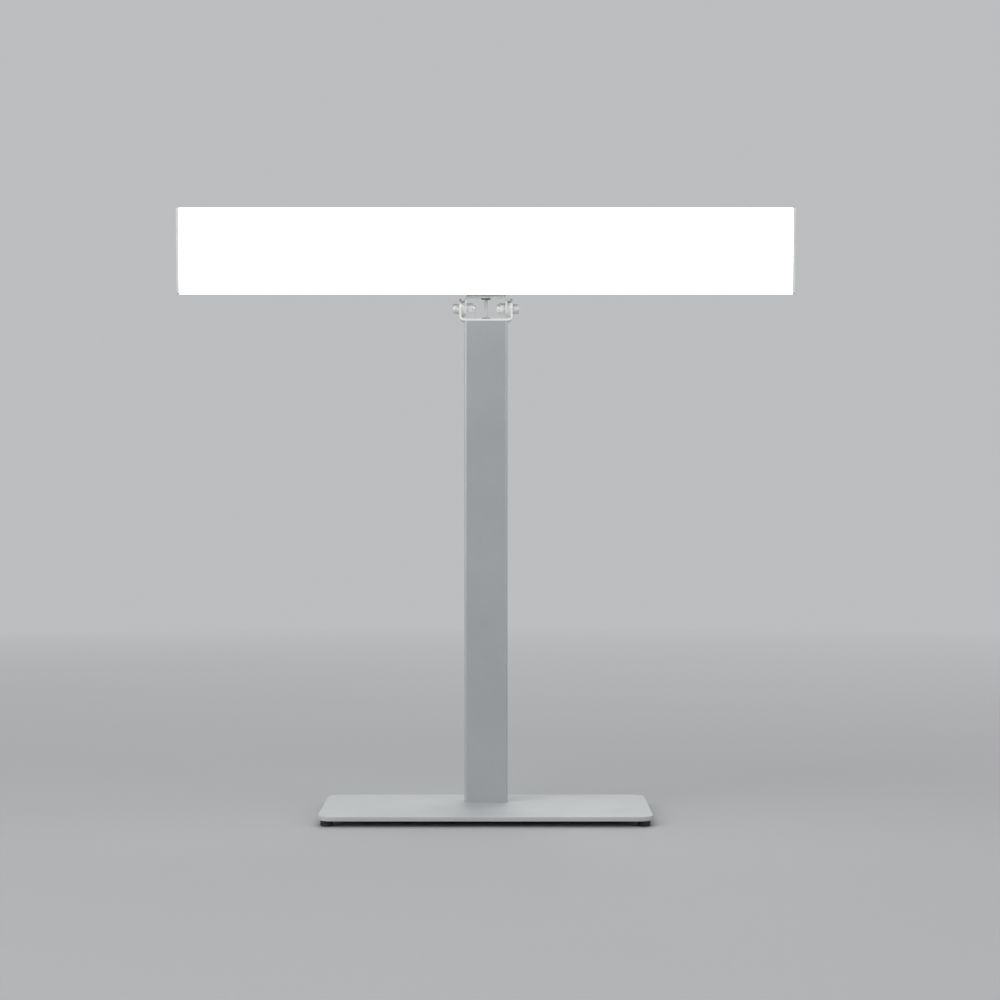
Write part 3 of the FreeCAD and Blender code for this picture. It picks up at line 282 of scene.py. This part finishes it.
def shade(colour, factor):
    return tuple(min(1.0, c * factor) for c in colour)


def powder_coat(name, colour, metallic, roughness):
    """A satin powder coat: a fine pebbled skin, faint flakes and slow changes of tone."""
    n = Nodes(name)
    slow = n.noise(scale=14, detail=4)
    toned = n.mix(n.ramp(slow, 0, 1, NOISE_SPAN), shade(colour, 0.96), shade(colour, 1.04))
    flakes = n.ramp(n.cells(scale=2600), 0, 0.35, span=(0.8, 1.0))
    speckled = n.mix(flakes, toned, shade(colour, 1.35))
    smears = n.noise(scale=5, detail=5, roughness=0.6, vector=n.stretched((1, 1, 0.25)))
    gloss = n.ramp(smears, roughness - 0.05, roughness + 0.06, NOISE_SPAN)
    pebbles = n.bump(n.noise(scale=1500, detail=2), depth=12 * MICRON)
    swells = n.bump(n.noise(scale=260, detail=1), depth=20 * MICRON, under=pebbles)
    return n.finish(speckled, gloss, swells, Metallic=metallic)


def extruded(name, colour, roughness):
    """Anodised extruded metal, with fine lines along the lamp's width."""
    n = Nodes(name)
    lines = n.noise(scale=1500, detail=3, roughness=0.7, vector=n.stretched((0.002, 1, 1)))
    toned = n.mix(n.ramp(lines, 0, 1, NOISE_SPAN), shade(colour, 0.97), shade(colour, 1.02))
    clouds = n.ramp(n.noise(scale=9, detail=3), 0, 0.2, span=(0.35, 0.65))
    cloudy = n.mix(clouds, toned, shade(colour, 0.95))
    gloss = n.ramp(lines, roughness - 0.03, roughness + 0.04, NOISE_SPAN)
    return n.finish(cloudy, gloss, n.bump(lines, depth=3 * MICRON), Metallic=0.6)


def bright_steel(name, colour, roughness, metallic=1.0):
    """Zinc-plated or stainless steel with fine marks and a few dull spots."""
    n = Nodes(name)
    marks = n.noise(scale=1800, detail=3, roughness=0.7)
    spots = n.ramp(n.noise(scale=300, detail=4), 0, 1, span=(0.4, 0.7))
    toned = n.mix(spots, shade(colour, 1.05), shade(colour, 0.82))
    gloss = n.ramp(marks, roughness - 0.07, roughness + 0.1, NOISE_SPAN)
    return n.finish(toned, gloss, n.bump(marks, depth=8 * MICRON), Metallic=metallic)


def milled_aluminium(name, colour, roughness):
    """Bare aluminium with the faint curved marks of a cutter."""
    n = Nodes(name)
    marks = n.waves(scale=420, distortion=1.5, wave_type="RINGS")
    clouds = n.ramp(n.noise(scale=60, detail=3), 0, 1, NOISE_SPAN)
    toned = n.mix(clouds, shade(colour, 0.9), colour)
    gloss = n.ramp(marks, roughness - 0.05, roughness + 0.07)
    return n.finish(toned, gloss, n.bump(marks, depth=6 * MICRON), Metallic=1.0)


def opal(name, colour):
    """Lit opal acrylic: white, satin, with the faintest mottling."""
    n = Nodes(name)
    mottling = n.ramp(n.noise(scale=30, detail=3), 0, 1, NOISE_SPAN)
    toned = n.mix(mottling, shade(colour, 0.97), colour)
    gloss = n.ramp(n.noise(scale=700, detail=2), 0.38, 0.48, NOISE_SPAN)
    skin = n.bump(n.noise(scale=1200, detail=2), depth=6 * MICRON)
    light = {"Emission_Color": (1.0, 0.995, 0.985, 1), "Emission_Strength": 4.0}
    return n.finish(toned, gloss, skin, IOR=1.49, **light)


def moulded(name, colour, roughness, grain=900, depth=10 * MICRON):
    """Moulded plastic with a fine spark-eroded grain."""
    n = Nodes(name)
    texture = n.noise(scale=grain, detail=3, roughness=0.6)
    slow = n.ramp(n.noise(scale=40, detail=3), 0, 1, NOISE_SPAN)
    toned = n.mix(slow, shade(colour, 0.92), shade(colour, 1.05))
    gloss = n.ramp(texture, roughness - 0.06, roughness + 0.06, NOISE_SPAN)
    return n.finish(toned, gloss, n.bump(texture, depth), IOR=1.5)


def soft_rubber(name, colour, dust_colour):
    """Matte rubber with a bloom of dust."""
    n = Nodes(name)
    dust = n.noise(scale=500, detail=5, roughness=0.7)
    toned = n.mix(n.ramp(dust, 0, 0.5, span=(0.52, 0.72)), colour, dust_colour)
    gloss = n.ramp(dust, 0.72, 0.9, NOISE_SPAN)
    skin = n.bump(n.noise(scale=1400, detail=2), depth=20 * MICRON)
    return n.finish(toned, gloss, skin, Specular_IOR_Level=0.35)


def jacket(name, colour, roughness):
    """The smooth skin of a lead, with slight extrusion lines and handling marks."""
    n = Nodes(name)
    lines = n.noise(scale=1600, detail=2, vector=n.stretched((1, 1, 0.03)))
    marks = n.ramp(n.noise(scale=120, detail=4), 0, 1, span=(0.35, 0.7))
    toned = n.mix(marks, colour, shade(colour, 0.88))
    gloss = n.ramp(lines, roughness - 0.05, roughness + 0.08, NOISE_SPAN)
    return n.finish(toned, gloss, n.bump(lines, depth=10 * MICRON))


def two_colour_wires(name, first, second):
    """Thin insulated wires, in two colours that take turns with height."""
    n = Nodes(name)
    bands = n.waves(scale=62, wave_type="BANDS", bands_direction="Z")
    toned = n.mix(n.ramp(bands, 0, 1, span=(0.48, 0.52)), first, second)
    gloss = n.ramp(n.noise(scale=900, detail=2), 0.35, 0.5, NOISE_SPAN)
    return n.finish(toned, gloss)


def circuit_board(name, mask, track, pitch):
    """A printed board: solder mask over faint tracks, with the weave of the glass under it."""
    n = Nodes(name)
    tracks = n.add("ShaderNodeTexBrick", offset=0.5)
    tracks.inputs["Scale"].default_value = 1 / pitch
    tracks.inputs["Mortar Size"].default_value = 0.06
    tracks.inputs["Color1"].default_value = (*mask, 1)
    tracks.inputs["Color2"].default_value = (*shade(mask, 1.12), 1)
    tracks.inputs["Mortar"].default_value = (*track, 1)
    upright = n.add("ShaderNodeMapping")
    upright.inputs["Rotation"].default_value = (math.pi / 2, 0, 0)
    n.join(n.place, upright.inputs["Vector"])
    n.join(upright.outputs["Vector"], tracks.inputs["Vector"])
    weave = n.noise(scale=2400, detail=1)
    gloss = n.ramp(weave, 0.3, 0.42, NOISE_SPAN)
    edges = n.bump(tracks.outputs["Fac"], depth=20 * MICRON)
    return n.finish(tracks.outputs["Color"], gloss, n.bump(weave, depth=4 * MICRON, under=edges))


def led_package(name, phosphor, pale_phosphor):
    """LED packages under a yellow phosphor with a fine grain."""
    n = Nodes(name)
    grain = n.noise(scale=2600, detail=2)
    toned = n.mix(n.ramp(grain, 0, 1, NOISE_SPAN), phosphor, pale_phosphor)
    return n.finish(toned, n.ramp(grain, 0.35, 0.5), n.bump(grain, depth=10 * MICRON))


def ferrite(name, dark, light):
    """Dark mottled ferrite."""
    n = Nodes(name)
    grain = n.noise(scale=1800, detail=3)
    toned = n.mix(n.ramp(grain, 0, 1, span=(0.35, 0.65)), dark, light)
    return n.finish(toned, n.ramp(grain, 0.5, 0.75), n.bump(grain, depth=30 * MICRON))


MATERIALS = {
    "coated_steel": powder_coat("silver_coat", (0.45, 0.465, 0.475), metallic=0.4, roughness=0.36),
    "housing_aluminium": extruded("anodised_housing", (0.58, 0.59, 0.595), roughness=0.48),
    "raw_aluminium": milled_aluminium("milled_aluminium", (0.74, 0.74, 0.73), roughness=0.34),
    "screw_steel": bright_steel("screw_steel", (0.88, 0.88, 0.87), roughness=0.42, metallic=0.7),
    "contact_metal": bright_steel("nickel_contacts", (0.70, 0.66, 0.55), roughness=0.28),
    "opal": opal("lit_opal", (0.92, 0.92, 0.91)),
    "cap_plastic": moulded("end_cap_pale", (0.80, 0.81, 0.805), roughness=0.5),
    "nylon": moulded("natural_nylon", (0.80, 0.79, 0.75), roughness=0.42, grain=600),
    "tie_nylon": moulded("tie_nylon", (0.78, 0.77, 0.72), roughness=0.4, grain=700),
    "black_plastic": moulded("black_plastic", (0.024, 0.024, 0.026), roughness=0.42),
    "rocker_plastic": moulded(
        "rocker_black", (0.018, 0.018, 0.02), roughness=0.3, grain=1300, depth=4 * MICRON
    ),
    "terminal": moulded("terminal_green", (0.05, 0.26, 0.12), roughness=0.45),
    "rubber": soft_rubber("foot_rubber", (0.022, 0.022, 0.022), dust_colour=(0.11, 0.11, 0.105)),
    "lead_jacket": jacket("lead_jacket", (0.70, 0.70, 0.69), roughness=0.42),
    "wire_insulation": two_colour_wires("wire_insulation", (0.42, 0.03, 0.03), (0.03, 0.03, 0.035)),
    "light_board": circuit_board(
        "light_board_white", mask=(0.78, 0.78, 0.76), track=(0.70, 0.70, 0.67), pitch=9.8 * MM
    ),
    "driver_board": circuit_board(
        "driver_board_green", mask=(0.02, 0.13, 0.06), track=(0.05, 0.24, 0.11), pitch=3.1 * MM
    ),
    "led": led_package("led_package", (0.9, 0.72, 0.2), (0.95, 0.86, 0.45)),
    "driver_part": ferrite("coil_ferrite", (0.045, 0.043, 0.042), (0.085, 0.08, 0.076)),
    "capacitor": moulded("capacitor_sleeve", (0.03, 0.035, 0.09), roughness=0.3, grain=500),
}

# Nodes whose coat differs from their slot's: in the photograph the hinge's brackets are paler than the post, much
# of it the lamp's
# # own light falling on them, so their coat is a much paler copy of the post's that is painted light; the base is
# duller
BRACKET_COAT_PAINTED_LIGHT = powder_coat("bracket_coat_with_painted_light", (0.80, 0.81, 0.81), metallic=0.15, roughness=0.38)
BASE_COAT = powder_coat("base_coat", (0.47, 0.485, 0.49), metallic=0.2, roughness=0.52)
OWN_FINISHES = {"lower_bracket": BRACKET_COAT_PAINTED_LIGHT, "upper_bracket": BRACKET_COAT_PAINTED_LIGHT, "base_plate": BASE_COAT}


def finish_of(node):
    return OWN_FINISHES.get(node, MATERIALS[SLOTS[node]])


def apply_finishes():
    """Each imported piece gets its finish."""
    for name, node in NODES.items():
        for holder in node.material_slots:
            holder.material = finish_of(name)


# Meshes

def body_with(node):
    return next(body for body, members in BODIES.items() if node in members)


def linked(name, data):
    """A new object in the scene, for a mesh, a light or a camera."""
    thing = bpy.data.objects.new(name, data)
    bpy.context.scene.collection.objects.link(thing)
    return thing


def new_piece(name, mesh_builder, slot, body, *replaced):
    """A mesh object that takes the finish of a slot, and rides on a body where one is given."""
    mesh = bpy.data.meshes.new(name)
    build = bmesh.new()
    mesh_builder(build)
    bmesh.ops.remove_doubles(build, verts=build.verts, dist=MERGE_DISTANCE)
    bmesh.ops.recalc_face_normals(build, faces=build.faces)
    build.to_mesh(mesh)
    build.free()
    mesh.materials.append(MATERIALS[slot])
    mesh.shade_smooth()
    mesh.set_sharp_from_angle(angle=SHARP_ANGLE)
    piece = linked(name, mesh)
    if body:
        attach(piece, body)
    if replaced:
        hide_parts(*replaced)
    return piece


def skin_rings(build, rings, closed_ends=True):
    """Joins rings of the same number of points with faces, and may close the two ends."""
    rows = [[build.verts.new(point) for point in ring] for ring in rings]
    count = len(rows[0])
    for lower, upper in zip(rows, rows[1:]):
        for i in range(count):
            j = (i + 1) % count
            build.faces.new((lower[i], lower[j], upper[j], upper[i]))
    if closed_ends:
        build.faces.new(list(reversed(rows[0])))
        build.faces.new(rows[-1])


def angles(count):
    return [2 * math.pi * i / count for i in range(count)]


def outline_ring(reach, along, count, axis_frame):
    """A ring about the axis frame's X axis, whose radius and place along it are functions of the angle."""
    return [
        axis_frame @ Vector((along(t), reach(t) * math.cos(t), reach(t) * math.sin(t)))
        for t in angles(count)
    ]


def circle(radius, along, count, axis_frame):
    """A round ring about the axis frame's X axis, at a distance along it."""
    return outline_ring(lambda t: radius, lambda t: along, count, axis_frame)


def hexagon_reach(across_flats, angle):
    """How far a hexagon reaches at an angle from the middle of one flat."""
    sector = math.pi / 3
    off = (angle + sector / 2) % sector - sector / 2
    return across_flats / 2 / math.cos(off)


def across_hinge(side, start):
    """A frame at start on the pivot's axis, with its X axis towards the middle of the lamp."""
    turn = Matrix.Rotation(math.pi, 4, "Z") if side == RIGHT else Matrix.Identity(4)
    return Matrix.Translation(PIVOT + ACROSS * side * start) @ turn


# Hinge

def pivot_screw(build, side):
    """A cap screw with a knurled head, a hexagon socket and a threaded shank."""
    axis = across_hinge(side, HINGE_OUTSIDE + SCREW_HEAD_HEIGHT)
    count = POINTS_PER_KNURL * KNURLS
    rings = []

    def round_ring(radius, along):
        rings.append(circle(radius, along, count, axis))

    def knurled_ring(along):
        def reach(t):
            return SCREW_HEAD_RADIUS - KNURL_DEPTH * (1 - math.cos(KNURLS * t)) / 2

        rings.append(outline_ring(reach, lambda t: along, count, axis))

    def socket_ring(along):
        rings.append(
            outline_ring(lambda t: hexagon_reach(SOCKET_ACROSS_FLATS, t), lambda t: along, count, axis)
        )

    round_ring(SOCKET_TIP_RADIUS, SOCKET_TIP_DEPTH)
    socket_ring(SOCKET_DEPTH)
    socket_ring(SOCKET_CHAMFER)
    round_ring(SOCKET_MOUTH_RADIUS, 0)
    round_ring(SCREW_HEAD_RADIUS - SCREW_HEAD_CHAMFER, 0)
    round_ring(SCREW_HEAD_RADIUS - KNURL_DEPTH, SCREW_HEAD_CHAMFER)
    knurled_ring(2 * SCREW_HEAD_CHAMFER)
    knurled_ring(SCREW_HEAD_HEIGHT - SCREW_HEAD_CHAMFER)
    round_ring(SCREW_HEAD_RADIUS - KNURL_DEPTH, SCREW_HEAD_HEIGHT)
    round_ring(SCREW_SHANK_RADIUS, SCREW_HEAD_HEIGHT)
    end = SCREW_HEAD_HEIGHT + SCREW_SHANK_LENGTH
    crest = SCREW_HEAD_HEIGHT + SCREW_PLAIN_LENGTH
    while crest + THREAD_PITCH < end - THREAD_DEPTH:
        round_ring(SCREW_SHANK_RADIUS, crest)
        round_ring(SCREW_SHANK_RADIUS - THREAD_DEPTH, crest + THREAD_PITCH / 2)
        crest += THREAD_PITCH
    round_ring(SCREW_SHANK_RADIUS, crest)
    round_ring(SCREW_SHANK_RADIUS, end - THREAD_DEPTH)
    round_ring(SCREW_SHANK_RADIUS - THREAD_DEPTH, end)
    skin_rings(build, rings)


def lock_nut(build, side):
    """A lock nut: both ends of the hexagon are chamfered, and a rolled collar holds the nylon ring."""
    axis = across_hinge(side, NUT_OUTSIDE)
    shoulder = NUT_HEIGHT - NUT_COLLAR_HEIGHT
    ring_seat = NUT_HEIGHT - NUT_RING_HEIGHT
    roll = NUT_COLLAR_RADIUS - NUT_RING_RADIUS
    rings = []

    def round_ring(radius, along):
        rings.append(circle(radius, along, NUT_POINTS, axis))

    def flats(t):
        return hexagon_reach(NUT_ACROSS_FLATS, t)

    def chamfer(t):
        return (flats(t) - NUT_CHAMFER_RADIUS) * NUT_CHAMFER_SLOPE

    round_ring(NUT_BORE_RADIUS, ring_seat)
    round_ring(NUT_BORE_RADIUS, NUT_BORE_CHAMFER)
    round_ring(NUT_BORE_RADIUS + NUT_BORE_CHAMFER, 0)
    round_ring(NUT_CHAMFER_RADIUS, 0)
    rings.append(outline_ring(flats, chamfer, NUT_POINTS, axis))
    rings.append(outline_ring(flats, lambda t: shoulder - chamfer(t), NUT_POINTS, axis))
    round_ring(NUT_CHAMFER_RADIUS, shoulder)
    round_ring(NUT_COLLAR_RADIUS, shoulder)
    for step in range(NUT_COLLAR_STEPS + 1):
        t = math.pi / 2 * step / NUT_COLLAR_STEPS
        round_ring(NUT_RING_RADIUS + roll * math.cos(t), NUT_HEIGHT - roll + roll * math.sin(t))
    round_ring(NUT_RING_RADIUS, ring_seat)
    rings.append(rings[0])
    skin_rings(build, rings, closed_ends=False)


def hinge_lead(build):
    """The short lead between the grommets, fine enough to bend smoothly."""
    low, high = (Vector(corner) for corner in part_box("hinge_lead"))
    head_y = low.y + LEAD_RADIUS
    upright = Matrix.Rotation(-math.pi / 2, 4, "Y")
    rings = []
    for i in range(LEAD_RINGS + 1):
        share = i / LEAD_RINGS
        y = PIVOT.y + (head_y - PIVOT.y) * share * share
        z = low.z + (high.z - low.z) * share
        rings.append(circle(LEAD_RADIUS, 0, LEAD_POINTS, Matrix.Translation((0, y, z)) @ upright))
    skin_rings(build, rings)


# Switch

def rocker_face(side):
    """A frame on one face of the rocker, with Z out of the face and X along the rocker."""
    pressed = Matrix.Rotation(-ROCKER_ANGLE, 4, "Z")
    valley = Matrix.Translation((0, ROCKER_ABOVE_PIVOT, 0))
    slope = Matrix.Rotation(side * ROCKER_ANGLE, 4, "Z")
    along = Matrix.Translation((side * MARK_FROM_MIDDLE, 0, 0))
    out = Matrix.Rotation(-math.pi / 2, 4, "X")
    return Matrix.Translation(ROCKER_PIVOT) @ HEAD_TURN @ pressed @ valley @ slope @ along @ out


def on_mark(build):
    """A bar, for on."""
    face = rocker_face(RIGHT)
    corners = [(-1, -1), (1, -1), (1, 1), (-1, 1)]
    rings = [
        [face @ Vector((x * taper * MARK_STROKE / 2, y * MARK_SIZE / 2, z)) for x, y in corners]
        for z, taper in ((-MARK_HEIGHT, 1), (MARK_HEIGHT / 2, 1), (MARK_HEIGHT, MARK_TOP_TAPER))
    ]
    skin_rings(build, rings)


def off_mark(build):
    """A ring, for off."""
    face = rocker_face(LEFT)
    outer = MARK_SIZE / 2
    inner = outer - MARK_STROKE

    def loop(radius, z):
        return [face @ Vector((radius * math.cos(t), radius * math.sin(t), z)) for t in angles(MARK_POINTS)]

    rings = [loop(inner, -MARK_HEIGHT), loop(outer, -MARK_HEIGHT), loop(outer, MARK_HEIGHT)]
    rings += [loop(inner, MARK_HEIGHT), loop(inner, -MARK_HEIGHT)]
    skin_rings(build, rings, closed_ends=False)


# Pieces

def softened(node, width):
    """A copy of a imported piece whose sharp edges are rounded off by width, shown in its place."""
    name = node + "_finished"
    build = bmesh.new()
    build.from_mesh(NODES[node].data)
    bmesh.ops.remove_doubles(build, verts=build.verts, dist=PACKED_MERGE_DISTANCE)
    bmesh.ops.dissolve_limit(
        build,
        angle_limit=FLAT_ANGLE,
        verts=build.verts,
        edges=build.edges,
        use_dissolve_boundaries=False,
    )
    mesh = bpy.data.meshes.new(name)
    build.to_mesh(mesh)
    build.free()
    mesh.materials.append(finish_of(node))
    mesh.shade_smooth()
    piece = linked(name, mesh)
    rounding = piece.modifiers.new("rounding", "BEVEL")
    rounding.width = width
    rounding.segments = SOFTENED_SEGMENTS
    rounding.limit_method = "ANGLE"
    rounding.angle_limit = SOFTENED_FROM_ANGLE
    rounding.miter_outer = "MITER_ARC"
    flat_faces = piece.modifiers.new("flat_faces", "WEIGHTED_NORMAL")
    flat_faces.mode = "FACE_AREA"
    flat_faces.weight = FLAT_FACE_WEIGHT
    depsgraph = bpy.context.evaluated_depsgraph_get()
    baked = bpy.data.meshes.new_from_object(piece.evaluated_get(depsgraph))
    piece.modifiers.clear()
    piece.data = baked
    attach(piece, body_with(node))
    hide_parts(node)


def add_detail():
    """The finer pieces that are shown in place of packed ones, and the marks on the rocker."""
    for node, width in SOFTENED.items():
        softened(node, width)
    for label, side in SIDES.items():
        new_piece(
            f"cap_screw_{label}",
            lambda build, side=side: pivot_screw(build, side),
            "screw_steel",
            "stand",
            "pivot_screws",
        )
        new_piece(
            f"lock_nut_{label}",
            lambda build, side=side: lock_nut(build, side),
            "screw_steel",
            "stand",
            "lock_nuts",
        )
    lead = new_piece("flexing_lead", hinge_lead, "lead_jacket", None, "hinge_lead")
    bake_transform(lead)
    new_piece("rocker_on_mark", on_mark, "nylon", "rocker")
    new_piece("rocker_off_mark", off_mark, "nylon", "rocker")


# Floor, background, light and camera

def floor():
    """A pale disc under the lamp, which fades into the background away from it and is clear from below."""
    build = bmesh.new()
    bmesh.ops.create_circle(build, cap_ends=True, radius=FLOOR_RADIUS, segments=FLOOR_POINTS)
    mesh = bpy.data.meshes.new("floor")
    build.to_mesh(mesh)
    build.free()
    disc = linked("floor", mesh)
    n = Nodes("floor_paper")
    speckle = n.noise(scale=300, detail=3)
    toned = n.mix(speckle, shade(FLOOR_COLOUR, 1 - FLOOR_SPECKLE), shade(FLOOR_COLOUR, 1 + FLOOR_SPECKLE))
    n.finish(toned, n.ramp(speckle, 0.75, 0.85))
    distance = n.add("ShaderNodeVectorMath", operation="LENGTH")
    n.join(n.place, distance.inputs[0])
    unseen = n.add("ShaderNodeMath", operation="MAXIMUM")
    n.join(n.ramp(distance.outputs["Value"], 0, 1, FLOOR_FADE), unseen.inputs[0])
    n.join(n.add("ShaderNodeNewGeometry").outputs["Backfacing"], unseen.inputs[1])
    fade = n.add("ShaderNodeMixShader")
    n.join(unseen.outputs["Value"], fade.inputs["Fac"])
    n.join(n.shader.outputs["BSDF"], fade.inputs[1])
    n.join(n.add("ShaderNodeBsdfTransparent").outputs["BSDF"], fade.inputs[2])
    n.join(fade.outputs["Shader"], n.tree.nodes["Material Output"].inputs["Surface"])
    mesh.materials.append(n.material)


def background():
    """The world shows its tone to the camera, in gloss and through glass, and lights softly."""
    world = bpy.data.worlds.new("studio")
    bpy.context.scene.world = world
    world.use_nodes = True
    nodes = world.node_tree.nodes
    join = world.node_tree.links.new
    path = nodes.new("ShaderNodeLightPath")
    seen_or_gloss = nodes.new("ShaderNodeMath")
    seen_or_gloss.operation = "MAXIMUM"
    join(path.outputs["Is Camera Ray"], seen_or_gloss.inputs[0])
    join(path.outputs["Is Glossy Ray"], seen_or_gloss.inputs[1])
    shown = nodes.new("ShaderNodeMath")
    shown.operation = "MAXIMUM"
    join(seen_or_gloss.outputs["Value"], shown.inputs[0])
    join(path.outputs["Is Transmission Ray"], shown.inputs[1])
    level = nodes.new("ShaderNodeMapRange")
    level.inputs["To Min"].default_value = AMBIENT / BACKGROUND[0]
    level.inputs["To Max"].default_value = 1
    join(shown.outputs["Value"], level.inputs["Value"])
    nodes["Background"].inputs["Color"].default_value = (*BACKGROUND, 1)
    join(level.outputs["Result"], nodes["Background"].inputs["Strength"])


def lamps():
    for name, (place, size, power) in LAMPS.items():
        light = bpy.data.lights.new(name, "AREA")
        light.size = size
        light.energy = power
        lamp = linked(name, light)
        lamp.location = place
        lamp.rotation_mode = "QUATERNION"
        lamp.rotation_quaternion = (LAMPS_AIM - Vector(place)).to_track_quat("-Z", "Y")
        lamp.visible_camera = False


def camera():
    lens = bpy.data.cameras.new("camera")
    lens.lens = CAMERA_LENS
    eye = linked("camera", lens)
    eye.location = CAMERA_PLACE
    eye.rotation_euler = (math.pi / 2, 0, 0)
    bpy.context.scene.camera = eye


apply_finishes()
add_detail()
floor()
background()
lamps()
camera()
bpy.context.scene.view_settings.view_transform = "Standard"
